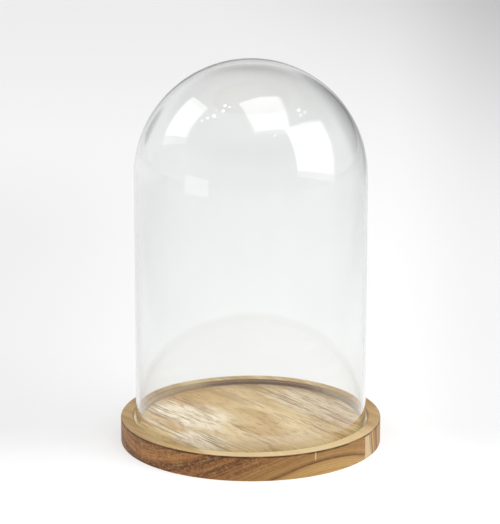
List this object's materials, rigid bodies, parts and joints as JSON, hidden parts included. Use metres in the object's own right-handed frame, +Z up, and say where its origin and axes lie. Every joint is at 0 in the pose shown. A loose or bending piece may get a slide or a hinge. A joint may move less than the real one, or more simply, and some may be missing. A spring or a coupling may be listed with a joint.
{
  "type": "glass display dome with wooden base",
  "caption": "Clear glass bell with a half-round crown that stands in the recess of a round wooden base and lifts straight off, to cover cheese, cake or a display piece.",
  "frame": {"origin": "on the table plane, under the middle of the round base", "axes": "+Z up along the axis of the base and the glass; -Y towards the side that shows the arched end grain a little to its right"},
  "size_m": [0.226, 0.226, 0.337],
  "materials": {
    "wood": "oiled, fine sanded, slightly limed on top",
    "glass": "clear, polished"
  },
  "bodies": {
    "base": {"base_board_wide": "wood", "base_board_narrow": "wood"},
    "dome": {"glass_dome": "glass"}
  },
  "joints": [
    {"name": "dome_lift", "type": "slide", "parent": "base", "child": "dome", "axis": [0, 0, 1], "range_m": [0, 0.33]}
  ]
}
